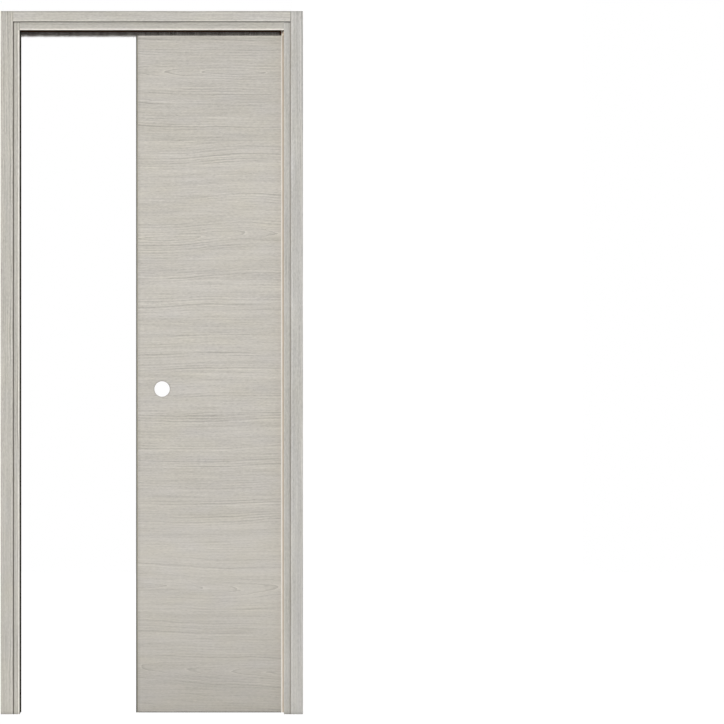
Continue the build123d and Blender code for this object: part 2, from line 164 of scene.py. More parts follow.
NOISE_SPAN = (0.3, 0.7)
BOARD_TONES = ((150, 124, 92), (190, 166, 132))
BOARD_SPAN = (0.32, 0.62)
BOARD_SPECKLE_RATE = 900.0
BOARD_CLOUD_RATE = 140.0
RUBBER_LINE_RATES = (1500.0, 1500.0, 9.0)
RUBBER_CLOUD_RATE = 60.0
RUBBER_STEP = 7
PLASTIC_SKIN_RATE = 1600.0
PLASTIC_CLOUD_RATE = 45.0
PLASTIC_STEP = 5
TUFT_RATES = (1700.0, 90.0, 90.0)
TUFT_PATCH_RATES = (70.0, 20.0, 20.0)
TUFT_DARK_STEP = -34
TUFT_LIGHT_STEP = 36
ALUMINIUM_TONES = ((205, 208, 210), (216, 218, 219))
DIE_LINE_RATES = (2.5, 2200.0, 2200.0)
ALUMINIUM_CLOUD_RATE = 8.0
ZINC_TONES = ((168, 173, 178), (196, 199, 200))
ZINC_MOTTLE_RATE = 160.0
ZINC_SKIN_RATE = 1400.0


# Colours. The curve of a screen is a straight line up to its knee, and a power beyond it.

FULL_TONE = 255
CURVE_KNEE = 0.04045
CURVE_SLOPE = 12.92
CURVE_OFFSET = 0.055
CURVE_POWER = 2.4


def srgb(red, green, blue):
    """A colour given from 0 to 255 as the screen shows it, as the linear colour a shader takes."""
    linear = []
    for channel in (red, green, blue):
        share = channel / FULL_TONE
        if share <= CURVE_KNEE:
            linear.append(share / CURVE_SLOPE)
        else:
            linear.append(((share + CURVE_OFFSET) / (1 + CURVE_OFFSET)) ** CURVE_POWER)
    return (*linear, 1.0)


def grey(level):
    """A neutral colour for the data ramps."""
    return (level, level, level, 1.0)


def stepped(tone, step):
    """A tone from 0 to 255 made lighter by a step, or darker by a negative one."""
    return tuple(max(0, channel + step) for channel in tone)


# Node materials, and the sockets at which a mix node takes and gives its colours

MIX_FIRST = 6
MIX_SECOND = 7
MIX_RESULT = 2


class Shader:
    """A material under construction, with short calls for the nodes that it is made of."""

    def __init__(self, name):
        self.material = bpy.data.materials.new(name)
        self.material.use_nodes = True
        self.tree = self.material.node_tree
        self.surface = self.tree.nodes["Principled BSDF"]
        self.place = self.add("ShaderNodeTexCoord").outputs

    def add(self, kind, settings=None, **inputs):
        """A new node with its settings, and its inputs by name."""
        node = self.tree.nodes.new(kind)
        for key, value in (settings or {}).items():
            setattr(node, key, value)
        for key, value in inputs.items():
            self.feed(node.inputs[key], value)
        return node

    def feed(self, socket, value):
        """Join an output to an input, or set the input to a plain value."""
        if isinstance(value, bpy.types.NodeSocket):
            self.tree.links.new(value, socket)
        else:
            socket.default_value = value

    def set(self, **inputs):
        """Set or join inputs of the surface, with _ for each space in a name."""
        for key, value in inputs.items():
            self.feed(self.surface.inputs[key.replace("_", " ")], value)

    def math(self, operation, first, second=0.0):
        """One step of arithmetic."""
        node = self.tree.nodes.new("ShaderNodeMath")
        node.operation = operation
        self.feed(node.inputs[0], first)
        self.feed(node.inputs[1], second)
        return node.outputs[0]

    def plus(self, *terms):
        """The sum of several values."""
        total = terms[0]
        for term in terms[1:]:
            total = self.math("ADD", total, term)
        return total

    def times(self, *factors):
        """The product of several values."""
        product = factors[0]
        for factor in factors[1:]:
            product = self.math("MULTIPLY", product, factor)
        return product

    def divided(self, first, second):
        """The first value divided by the second."""
        return self.math("DIVIDE", first, second)

    def size(self, value):
        """A value without its sign."""
        return self.math("ABSOLUTE", value)

    def rest(self, value):
        """What a value leaves of 1."""
        return self.math("SUBTRACT", 1.0, value)

    def distance(self, across, up):
        """The length of the way across and up together."""
        return self.math("SQRT", self.plus(self.times(across, across), self.times(up, up)))

    def centred(self, value, share):
        """A value from 0 to 1 as one around 0, times a share."""
        return self.times(self.plus(value, -0.5), share)

    def between(self, first, second, share):
        """A value at a share of the way from the first to the second."""
        return self.plus(self.times(first, 1 - share), self.times(second, share))

    def chance(self, number):
        """A random value from 0 to 1 that is always the same for a number."""
        return self.add("ShaderNodeTexWhiteNoise", {"noise_dimensions": "1D"}, W=number).outputs["Value"]

    def split(self, vector):
        """The three parts of a vector."""
        return self.add("ShaderNodeSeparateXYZ", Vector=vector).outputs

    def join(self, x, y, z):
        """A vector from three values."""
        return self.add("ShaderNodeCombineXYZ", X=x, Y=y, Z=z).outputs[0]

    def scaled(self, vector, factors):
        """A vector times a factor for each axis."""
        node = self.add("ShaderNodeVectorMath", {"operation": "MULTIPLY"})
        self.feed(node.inputs[0], vector)
        self.feed(node.inputs[1], factors)
        return node.outputs[0]

    def noise(self, vector, scale, detail=2.0, roughness=0.5, distortion=0.0):
        """Smooth noise from 0 to 1."""
        return self.add(
            "ShaderNodeTexNoise",
            Vector=vector,
            Scale=scale,
            Detail=detail,
            Roughness=roughness,
            Distortion=distortion,
        ).outputs[0]

    def even_noise(self, rate, detail=2.0, roughness=0.5):
        """Noise over the object, with the same changes to the metre in every direction."""
        return self.noise(self.place["Object"], rate, detail, roughness)

    def stretched_noise(self, rates, detail=2.0, roughness=0.5):
        """Noise over the object, with its own changes to the metre along each axis."""
        return self.noise(self.scaled(self.place["Object"], rates), 1.0, detail, roughness)

    def ramp(self, value, stops):
        """A colour for a value, from stops of (value, colour)."""
        node = self.add("ShaderNodeValToRGB", Fac=value)
        elements = node.color_ramp.elements
        while len(elements) < len(stops):
            elements.new(1.0)
        for element, (position, color) in zip(elements, stops):
            element.position = position
            element.color = color
        return node.outputs[0]

    def spread(self, value, low, high):
        """A value clamped and stretched so that low becomes 0 and high becomes 1."""
        node = self.add("ShaderNodeMapRange", {"interpolation_type": "SMOOTHSTEP"})
        self.feed(node.inputs["Value"], value)
        node.inputs["From Min"].default_value = low
        node.inputs["From Max"].default_value = high
        return node.outputs[0]

    def mix(self, share, first, second, blend="MIX"):
        """A colour between two, or another blend of them."""
        node = self.add("ShaderNodeMix", {"data_type": "RGBA", "blend_type": blend})
        self.feed(node.inputs[0], share)
        self.feed(node.inputs[MIX_FIRST], first)
        self.feed(node.inputs[MIX_SECOND], second)
        return node.outputs[MIX_RESULT]

    def tones(self, value, dark, light, span=NOISE_SPAN):
        """A colour from a dark tone to a light one, over the span of a noise value."""
        return self.ramp(value, [(span[0], srgb(*dark)), (span[1], srgb(*light))])

    def rough(self, value, least, gain):
        """Give the surface a least roughness, and more of it by a noise value."""
        self.set(Roughness=self.plus(least, self.times(value, gain)))

    def bump(self, height, depth):
        """Give the surface a relief of the given depth, in metres."""
        node = self.add("ShaderNodeBump", Height=height, Distance=depth, Strength=1.0)
        self.feed(self.surface.inputs["Normal"], node.outputs[0])


def shaded(shader, color, shades):
    """A colour under its shades (painted light and shade, and tones by place), each a way to read a place
    and the brightness at it.
    """
    for place, stops in shades:
        color = shader.mix(1.0, color, shader.ramp(place(shader), stops), "MULTIPLY")
    return color


def along_axis(axis, start, end, top=OUT_OF_REACH, lean=0.0):
    """A way to read how far a point lies from one place to another along an axis, 1 above a height."""
    def place(shader):
        parts = shader.split(shader.place["Object"])
        run = shader.plus(parts[axis], -start, shader.times(parts[Z], lean))
        share = shader.divided(run, end - start)
        return shader.math("MAXIMUM", share, shader.math("GREATER_THAN", parts[Z], top))
    return place


def around_bore(reach):
    """A way to read how far a point of the leaf's face lies from the middle of the bore."""
    def place(shader):
        parts = shader.split(shader.place["Object"])
        across = shader.plus(parts[X], -bore_place.x)
        up = shader.plus(parts[Z], -bore_place.z)
        return shader.divided(shader.distance(across, up), reach)
    return place


def grey_stops(levels, reach, start=0.0):
    """Ramp stops from (distance in millimetres, brightness), over a reach in metres."""
    return [((start + distance) / (TO_MILLIMETRES * reach), grey(level)) for distance, level in levels]


def shade(axis, start, end, levels, top=OUT_OF_REACH):
    """Brightness by the distance from one place towards another."""
    return along_axis(axis, start, end, top), grey_stops(levels, abs(end - start))


# Laminate

WARM_WASH = srgb(255, 255, 247)
COOL_WASH = srgb(253, 254, 255)


def grain_space(shader, along, shift):
    """Where a point lies along the grain, across it on the face, and into the board, in metres."""
    x, y, z = shader.split(shader.place["Object"])
    u, v = (x, z) if along == "X" else (z, x)
    return shader.plus(u, shift), v, y


def grain_noise(shader, grain, along, across, detail=2.0, roughness=0.5, distortion=0.0):
    """Noise with a given number of changes to the metre along the grain and across it."""
    u, v, w = grain
    space = shader.join(shader.times(u, along), shader.times(v, across), shader.times(w, across))
    return shader.noise(space, 1.0, detail, roughness, distortion)


def board_places(shader, grain, shift, boards):
    """The number of the board that a point lies on, and its place from the board's heart and eye."""
    u, v, w = grain
    (heart, eye, seam), *others = boards
    number = 0.0
    heart_place = heart
    eye_place = eye
    for next_heart, next_eye, next_seam in others:
        past = shader.math("GREATER_THAN", v, seam)
        number = shader.plus(number, past)
        heart_place = shader.plus(heart_place, shader.times(past, next_heart - heart))
        eye_place = shader.plus(eye_place, shader.times(past, next_eye - eye))
        heart, eye, seam = next_heart, next_eye, next_seam
    side = shader.math("SUBTRACT", v, heart_place)
    run = shader.math("SUBTRACT", shader.plus(u, -shift), eye_place)
    return number, side, run


def ring_phase(shader, grain, number, side, run, wander_width):
    """How many rings out a point lies, how far beside the heart, and how squarely its rings are cut."""
    place = shader.join(shader.plus(grain[0], shader.times(number, NEXT_BOARD_SHIFT)), 0.0, 0.0)
    wander = shader.noise(place, WANDER_RATE, 1.0)
    side = shader.plus(side, shader.centred(wander, wander_width))
    depth = shader.plus(shader.times(shader.size(run), TRUNK_TILT), HEART_DEPTH)
    reach = shader.distance(side, depth)
    waves = [shader.times(grain_noise(shader, grain, *form), rings) for form, rings in RING_WAVES]
    phase = shader.plus(shader.divided(reach, RING_SPACING), shader.plus(*waves))
    slope = shader.math("MAXIMUM", shader.divided(shader.size(side), reach), LEAST_SLOPE)
    return phase, side, slope


def ring_lines(shader, grain, shift, boards):
    """Growth rings cut by the face: long leaning lines, and arches where the rings run out of it."""
    number, side, run = board_places(shader, grain, shift, boards)
    wander_width = WANDER_WIDTH if len(boards) > 1 else STRAIGHT_WANDER_WIDTH
    phase, side, slope = ring_phase(shader, grain, number, side, run, wander_width)
    rise = shader.math("FRACT", phase)
    ring_number = shader.plus(shader.math("FLOOR", phase), shader.times(number, NEXT_BOARD_RINGS))
    off_heart = shader.spread(shader.size(side), 0.0, EYE_WIDTH)
    near_heart = shader.rest(off_heart)
    luck = shader.math("POWER", shader.chance(ring_number), BOLD_RING_RARITY)
    boldness = shader.plus(
        shader.times(shader.plus(FAINT_RING, luck), off_heart),
        shader.times(near_heart, HEART_BOLDNESS),
    )
    patches = shader.spread(grain_noise(shader, grain, *FADE_NOISE), *FADE_SPAN)
    fade = shader.math("MAXIMUM", shader.plus(FADE_LEAST, patches), shader.times(near_heart, HEART_FADE))
    late = shader.rest(shader.spread(shader.divided(shader.rest(rise), slope), *LATE_LINE))
    early = shader.rest(shader.spread(shader.divided(rise, slope), *EARLY_LINE))
    line = shader.math("SUBTRACT", late, shader.times(early, EARLY_PALENESS))
    return shader.times(line, boldness, fade), number


def board_speckle(shader):
    """The fine speckle of fibre board."""
    return shader.even_noise(BOARD_SPECKLE_RATE, detail=3.0, roughness=0.6)


def bare_board_color(shader):
    """The brown of a cut fibre board, with its speckle."""
    level = shader.between(board_speckle(shader), shader.even_noise(BOARD_CLOUD_RATE), share=0.4)
    return shader.tones(level, *BOARD_TONES, BOARD_SPAN)


def laminate(name, along, shift, tone, bare, boards=STRAIGHT_BOARD, shades=(), contrast=1.0):
    """A matt grey-washed wood laminate with its grain along X or Z, under its shades of painted light and
    shade and tones by place, and bare board where cut.
    """
    shader = Shader(name)
    grain = grain_space(shader, along, shift)
    layers = {key: grain_noise(shader, grain, *form) for key, form in FIGURE_NOISE.items()}
    rings, number = ring_lines(shader, grain, shift, boards)
    board_luck = shader.chance(shader.plus(number, BOARD_TONE_START))
    pores = shader.spread(grain_noise(shader, grain, *PORE_NOISE), *PORE_SPAN)
    figure = shader.plus(
        *[shader.centred(layers[key], share) for key, share in FIGURE_SHARES.items()],
        shader.times(pores, PORE_SHARE),
        shader.times(rings, RING_SHARE),
        shader.centred(board_luck, BOARD_SHARE),
    )
    height = shader.split(shader.place["Object"])[Z]
    calm = shader.plus(CALM_FOOT, shader.times(shader.spread(height, CALM_LOW, CALM_HIGH), 1 - CALM_FOOT))
    level = shader.plus(0.5, shader.times(figure, calm))
    dark = stepped(tone, DARKEST_STEP * contrast)
    light = stepped(tone, LIGHTEST_STEP * contrast)
    color = shader.ramp(level, [(0.0, srgb(*dark)), (0.5, srgb(*tone)), (1.0, srgb(*light))])
    wash = shader.mix(grain_noise(shader, grain, *WASH_NOISE), WARM_WASH, COOL_WASH)
    color = shaded(shader, shader.mix(1.0, color, wash, "MULTIPLY"), shades)
    color = shader.mix(bare(shader), color, bare_board_color(shader))
    shader.set(Base_Color=color, Specular_IOR_Level=0.25)
    shader.rough(layers["streak"], least=0.52, gain=0.14)
    relief = [shader.times(layers[key], share) for key, share in RELIEF_SHARES.items()]
    shader.bump(shader.plus(*relief, shader.times(rings, RING_RELIEF)), RELIEF_DEPTH)
    return shader.material


# Where the laminate gives way to bare board, as masks that are 1 there

SQUARE_ENOUGH = 0.85


def cut_ends(shader, axis):
    """1 on faces cut square to an axis of the object."""
    part = shader.split(shader.place["Normal"])[axis]
    return shader.math("GREATER_THAN", shader.size(part), SQUARE_ENOUGH)


def beyond(shader, axis, place, sign):
    """1 where a point lies past a place along an axis, in the direction of the sign."""
    part = shader.split(shader.place["Object"])[axis]
    return shader.math("GREATER_THAN", shader.times(part, sign), place * sign)


def either(shader, first, second):
    """1 where either of two masks is 1."""
    return shader.math("MAXIMUM", first, second)


def bare_closing_jamb(shader):
    """The ends of the closing jamb, and what its casings and the wall cover."""
    hidden = beyond(shader, X, casing_inner_x + HAIRLINE, -1)
    return either(shader, cut_ends(shader, Z), hidden)


def bare_pocket_jamb(shader):
    """The ends of a pocket jamb, and what its casing and the wall cover."""
    hidden = beyond(shader, X, pocket_casing_x - HAIRLINE, 1)
    return either(shader, cut_ends(shader, Z), hidden)


def bare_head_board(shader):
    """The ends of a head board, and what its casing and the wall cover."""
    hidden = beyond(shader, Z, head_casing_z - HAIRLINE, 1)
    return either(shader, cut_ends(shader, X), hidden)


def bare_casing_back(shader):
    """The back of a casing, with its tongue."""
    depth = shader.size(shader.split(shader.place["Object"])[Y])
    return shader.math("LESS_THAN", depth, wall_face_y + HAIRLINE)


def bare_side_casing(shader):
    """The back and the sawn ends of a side casing."""
    return either(shader, bare_casing_back(shader), cut_ends(shader, Z))


def bare_head_casing(shader):
    """The back and the sawn ends of a head casing."""
    return either(shader, bare_casing_back(shader), cut_ends(shader, X))


def bare_skin(shader):
    """All of a leaf skin but its face: its edges and the wall of the bore."""
    return shader.rest(cut_ends(shader, Y))


def bare_lipping(shader):
    """The sawn ends of a lipping."""
    return cut_ends(shader, Z)


# Other materials

def bare_board(name):
    """The boards inside the leaf, which show at its ends and in the bore."""
    shader = Shader(name)
    shader.set(Base_Color=bare_board_color(shader), Roughness=0.85, Specular_IOR_Level=0.2)
    shader.bump(board_speckle(shader), depth=0.0002)
    return shader.material


def rubber(name, tone, shades=()):
    """Matt extruded rubber with faint lines along its run, and other tones and painted light by place if
    it has them.
    """
    shader = Shader(name)
    lines = shader.stretched_noise(RUBBER_LINE_RATES)
    level = shader.between(lines, shader.even_noise(RUBBER_CLOUD_RATE, detail=3.0), share=0.5)
    color = shader.tones(level, stepped(tone, -RUBBER_STEP), stepped(tone, RUBBER_STEP))
    shader.set(Base_Color=shaded(shader, color, shades), Roughness=0.85, Specular_IOR_Level=0.03)
    shader.bump(lines, depth=0.00005)
    return shader.material


def moulded_plastic(name, tone, roughness):
    """Plain moulded plastic with a fine eroded skin."""
    shader = Shader(name)
    fine = shader.even_noise(PLASTIC_SKIN_RATE)
    cloud = shader.even_noise(PLASTIC_CLOUD_RATE, detail=3.0)
    color = shader.tones(cloud, stepped(tone, -PLASTIC_STEP), stepped(tone, PLASTIC_STEP))
    shader.set(Base_Color=color, Specular_IOR_Level=0.05)
    shader.rough(fine, least=roughness, gain=0.12)
    shader.bump(fine, depth=0.00004)
    return shader.material


def pile(name, tone, shades):
    """Brush hair, each with its own tone along the strip, with painted shade towards the root and painted
    light towards the tips.
    """
    shader = Shader(name)
    tuft = shader.stretched_noise(TUFT_RATES, roughness=0.7)
    level = shader.between(tuft, shader.stretched_noise(TUFT_PATCH_RATES), share=0.55)
    color = shader.tones(level, stepped(tone, TUFT_DARK_STEP), stepped(tone, TUFT_LIGHT_STEP))
    shader.set(Base_Color=shaded(shader, color, shades), Roughness=0.8, Specular_IOR_Level=0.1)
    return shader.material


def drawn_aluminium(name):
    """Satin anodised extrusion with die lines along X."""
    shader = Shader(name)
    lines = shader.stretched_noise(DIE_LINE_RATES, detail=3.0)
    cloud = shader.even_noise(ALUMINIUM_CLOUD_RATE)
    shader.set(Base_Color=shader.tones(cloud, *ALUMINIUM_TONES), Metallic=1.0)
    shader.rough(lines, least=0.30, gain=0.18)
    shader.bump(lines, depth=0.00003)
    return shader.material


def zinc_steel(name):
    """Zinc plated steel with a mottled, slightly blue skin."""
    shader = Shader(name)
    mottle = shader.even_noise(ZINC_MOTTLE_RATE, detail=4.0, roughness=0.6)
    shader.set(Base_Color=shader.tones(mottle, *ZINC_TONES), Metallic=1.0)
    shader.rough(mottle, least=0.28, gain=0.22)
    shader.bump(shader.even_noise(ZINC_SKIN_RATE), depth=0.00003)
    return shader.material


# Materials on the CAD nodes. A shift says where a piece's stretch of the pattern begins, in metres.

CASING_TONES = {"closing": (195, 191, 185), "head": (194, 190, 185), "pocket": (195, 192, 189)}
JAMB_TONES = {"closing": (193, 189, 183), "head": (192, 188, 182), "pocket": (191, 188, 184)}
LEAF_TONE = (201, 196, 190)
EDGE_TONE = (201, 196, 183)
LEAF_CONTRAST = 0.95
CASING_CONTRAST = 1.1
CLOSING_JAMB_SHIFT = 2.0
POCKET_JAMB_SHIFTS = {"front": 5.0, "back": 8.1}
HEAD_BOARD_SHIFTS = {"front": 7.3, "back": 10.4}
CASING_GRAINS = {"closing": ("Z", 11.0), "pocket": ("Z", 16.0), "head": ("X", 21.0)}
CASING_TURNS = {"front": 0.0, "back": 3.1}
LEAF_SHIFTS = {"front": 27.0, "back": 30.1}
LEAF_EDGE_SHIFT = 33.0
# The closing lips are dark brown rubber, made near-black with painted shade
CLOSING_RUBBER_TONE = (22, 15, 7)
# The brush carriers are dark brown plastic, made darker with painted shade in the slot under the head
# boards
BRUSH_PLASTIC_TONE = (40, 19, 3)
STOP_PLASTIC_TONE = (104, 105, 107)
WHEEL_NYLON_TONE = (226, 225, 219)

# Reaches of the fine shades, and the heights where the leaf's seam tones and its painted light under the
# brush begin, in metres

SHORT_REACH = 0.016
LIP_TOP_REACH = 0.024
BORE_REACH = 0.032
LOW_SEAM = 0.302
HIGH_SEAM = 1.700
LEAF_BRUSH_LINE = 2.008

# Painted shade and painted highlights on arrises, joints, edges and the bore, and tones by height and at
# the seams, as (distance in millimetres, brightness) from an edge inwards

# Painted shade along the foot of casings and jambs where they meet the floor, and a tone darker towards
# the bottom
CASING_HEIGHT_TONE_AND_FOOT_PAINTED_SHADE = [
    (0, 0.70),
    (3, 0.76),
    (6, 0.92),
    (12, 0.96),
    (60, 0.96),
    (200, 0.93),
    (1000, 0.965),
    (2000, 0.99),
]
POCKET_CASING_FOOT_SHADE = [(0, 0.96), (90, 0.96), (170, 1.0), (2000, 1.0)]
# Painted shade on the top arris of the side casings
CASING_TOP_ARRIS_PAINTED_SHADE = [(0.0, 0.78), (2.8, 0.78), (3.4, 0.92), (9.0, 0.95), (16.0, 1.0)]
# Painted highlight in a band by the inner edge of the casings
CASING_INNER_EDGE_PAINTED_HIGHLIGHT = [(0, 1.0), (2.6, 1.02), (3.1, 1.15), (5.6, 1.15), (6.2, 1.0)]
# Painted highlight along the lower edge of the head casing, and painted shade on its top arris
HEAD_CASING_PAINTED_HIGHLIGHT_AND_SHADE = [
    (0.0, 1.0),
    (1.2, 1.15),
    (4.0, 1.17),
    (4.6, 1.06),
    (8.0, 1.03),
    (25.0, 1.03),
    (27.8, 0.97),
    (28.3, 0.82),
    (31.0, 0.62),
]
# Painted shade in the butt joint of the head casing with the pocket casing, and a painted highlight beside
# it
HEAD_CASING_END_PAINTED_JOINT_SHADE = [(0.0, 0.68), (1.6, 0.70), (1.9, 1.08), (4.4, 1.08), (4.8, 1.0), (16.0, 1.0)]
# Painted shadow of the head casing across the tops of the jambs
JAMB_TOP_PAINTED_SHADOW = [(0.0, 0.62), (4.4, 0.60), (4.9, 1.0), (16.0, 1.0)]
# Painted shade in the quirk between the closing jamb and its casing
JAMB_QUIRK_PAINTED_SHADE = [(0.0, 0.54), (2.9, 0.56), (3.3, 1.04), (5.0, 1.03)]
# Painted highlight along the closing jamb's inner arris below the head board, and painted shade at its
# very edge by the lip
JAMB_ARRIS_PAINTED_HIGHLIGHT_AND_SHADE = [
    (11.5, 1.0),
    (14.8, 1.08),
    (15.2, 1.6),
    (17.7, 1.6),
    (18.1, 0.95),
    (19.2, 0.84),
    (19.4, 0.28),
    (19.9, 0.28),
    (20.0, 1.0),
]
# Painted highlight by the pocket jambs' inner edge, and painted shadow of the casing towards it
POCKET_JAMB_PAINTED_HIGHLIGHT_AND_SHADOW = [(0.0, 1.12), (3.4, 1.12), (4.0, 1.02), (14.0, 1.0), (17.0, 0.98), (20.0, 0.9)]
# Painted shade on the head board's underside and lower arris, a painted highlight line above them, and
# painted shadow of the head casing towards its top
HEAD_BOARD_PAINTED_HIGHLIGHT_AND_SHADOW = [
    (0.0, 0.85),
    (0.15, 0.06),
    (1.4, 0.07),
    (1.7, 1.85),
    (4.0, 1.8),
    (4.5, 1.2),
    (7.0, 1.18),
    (7.8, 1.01),
    (16.0, 0.99),
    (20.0, 0.94),
    (24.0, 0.86),
    (24.6, 0.63),
    (26.8, 0.38),
]
LEAF_HEIGHT_SHADE = [
    (0, 0.82),
    (60, 0.82),
    (160, 0.87),
    (310, 0.92),
    (490, 0.96),
    (920, 0.95),
    (1470, 0.99),
    (1920, 0.99),
]
# Painted shade along the leaf's foot
LEAF_FOOT_PAINTED_SHADE = [(0.0, 0.04), (1.4, 0.05), (2.0, 0.72), (3.6, 0.99), (5.0, 1.0), (16.0, 1.0)]
LOW_SEAM_SHADE = [(0.0, 1.0), (5.0, 1.0), (5.6, 1.04), (8.4, 1.04), (9.0, 0.95), (12.0, 0.96), (16.0, 1.0)]
HIGH_SEAM_SHADE = [(0.0, 1.0), (5.0, 1.02), (5.6, 0.88), (8.0, 0.88), (8.6, 0.965), (16.0, 0.965)]
# Painted light on the leaf just under the brush, offsetting the hairs' shadow, above a slightly darker
# band
LEAF_UNDER_BRUSH_PAINTED_LIGHT = [(0.0, 1.0), (2.0, 0.96), (5.2, 0.96), (5.6, 1.22), (8.6, 1.22), (9.0, 1.0)]
# Painted shade on the skin along the lead edge
LEAF_LEAD_PAINTED_SHADE = [(0.0, 0.93), (4.5, 0.94), (8.0, 1.0), (16.0, 1.0)]
# Painted shade around the rim of the bore
BORE_RIM_PAINTED_SHADE = [(0.0, 0.76), (1.6, 0.80), (3.2, 1.0), (6.0, 1.0)]
# Painted shade on the front of the lead lipping, as of a rounded edge turning from the light, while its
# end face stays plain
LIPPING_FRONT_PAINTED_SHADE = [(0.0, 1.0), (0.05, 0.21), (2.6, 0.22), (3.2, 0.64), (5.6, 0.65), (5.9, 1.0)]
LIPPING_HEIGHT_SHADE = [
    (0, 0.72),
    (90, 0.76),
    (260, 0.87),
    (420, 0.94),
    (760, 0.96),
    (1000, 1.0),
    (1420, 1.0),
    (1750, 0.95),
    (1950, 0.91),
]
# Painted shade towards the roots of the brush hair and painted light towards its tips
HAIR_PAINTED_ROOT_SHADE_AND_TIP_LIGHT = [(0.0, 0.75), (1.5, 0.82), (4.5, 1.03), (7.5, 1.33), (9.0, 1.75), (10.5, 2.6)]

# The tan lip: stripes as (distance from the tip in millimetres, tone), their lean, and painted light on
# its top that offsets the head board's shadow

LIP_TONE = (250, 250, 250)
LIP_STRIPES = [
    (0.0, (240, 236, 228)),
    (2.7, (240, 236, 228)),
    (3.3, (216, 203, 188)),
    (5.4, (213, 199, 184)),
    (6.2, (189, 175, 159)),
    (8.2, (183, 168, 150)),
]
LIP_LEAN = 0.0007
LIP_LEAN_START = 0.0005
# Painted light on the top of the pocket lips, offsetting the head board's shadow
LIP_TOP_PAINTED_LIGHT = [(0.0, 1.9), (12.0, 1.9), (15.0, 1.3), (17.5, 1.0), (24.0, 1.0)]


def paint(name, material):
    """Give a CAD node its finish."""
    mesh = nodes[name].data
    mesh.materials.clear()
    mesh.materials.append(material)


def short_shade(axis, start, levels, sign=1):
    """A fine shade over a short reach from a place, up along an axis or down along it."""
    return shade(axis, start, start + sign * SHORT_REACH, levels)


def paint_jambs():
    """The laminate of the jambs and head boards, each with its own stretch of the pattern."""
    height = shade(Z, 0.0, casing_top_z, CASING_HEIGHT_TONE_AND_FOOT_PAINTED_SHADE)
    # Painted shadow of the head casing across the tops of the jambs
    painted_head_casing_shadow = short_shade(Z, head_casing_z, JAMB_TOP_PAINTED_SHADOW, -1)
    closing_shades = [
        height,
        painted_head_casing_shadow,
        shade(X, casing_inner_x, jamb_face_x, JAMB_QUIRK_PAINTED_SHADE),
        shade(X, casing_inner_x, jamb_face_x, JAMB_ARRIS_PAINTED_HIGHLIGHT_AND_SHADE, head_face_z),
    ]
    pocket_shades = [height, painted_head_casing_shadow, shade(X, pocket_face_x, pocket_casing_x, POCKET_JAMB_PAINTED_HIGHLIGHT_AND_SHADOW)]
    head_shades = [shade(Z, head_face_z, head_casing_z, HEAD_BOARD_PAINTED_HIGHLIGHT_AND_SHADOW)]
    closing = laminate(
        "closing_jamb_laminate",
        "Z",
        CLOSING_JAMB_SHIFT,
        JAMB_TONES["closing"],
        bare_closing_jamb,
        shades=closing_shades,
    )
    paint("closing_jamb", closing)
    for face in ("front", "back"):
        pocket = laminate(
            f"pocket_jamb_{face}_laminate",
            "Z",
            POCKET_JAMB_SHIFTS[face],
            JAMB_TONES["pocket"],
            bare_pocket_jamb,
            shades=pocket_shades,
        )
        paint(f"pocket_jamb_{face}", pocket)
        head = laminate(
            f"head_board_{face}_laminate",
            "X",
            HEAD_BOARD_SHIFTS[face],
            JAMB_TONES["head"],
            bare_head_board,
            shades=head_shades,
        )
        paint(f"head_board_{face}", head)


def paint_casings():
    """The laminate of the casings, with a stronger figure than the boards of the jambs."""
    height = shade(Z, 0.0, casing_top_z, CASING_HEIGHT_TONE_AND_FOOT_PAINTED_SHADE)
    foot = shade(Z, 0.0, casing_top_z, POCKET_CASING_FOOT_SHADE)
    top = short_shade(Z, casing_top_z, CASING_TOP_ARRIS_PAINTED_SHADE, -1)
    shades = {
        "closing": [height, top, shade(X, casing_inner_x, casing_outer_x, CASING_INNER_EDGE_PAINTED_HIGHLIGHT)],
        "pocket": [height, top, foot, shade(X, pocket_casing_x, pocket_outer_x, CASING_INNER_EDGE_PAINTED_HIGHLIGHT)],
        "head": [
            shade(Z, head_casing_z, casing_top_z, HEAD_CASING_PAINTED_HIGHLIGHT_AND_SHADE),
            short_shade(X, pocket_casing_x, HEAD_CASING_END_PAINTED_JOINT_SHADE, -1),
        ],
    }
    for face, turn in CASING_TURNS.items():
        for side, (along, shift) in CASING_GRAINS.items():
            casing = laminate(
                f"casing_{face}_{side}_laminate",
                along,
                shift + turn,
                CASING_TONES[side],
                bare_head_casing if side == "head" else bare_side_casing,
                shades=shades[side],
                contrast=CASING_CONTRAST,
            )
            paint(f"casing_{face}_{side}", casing)


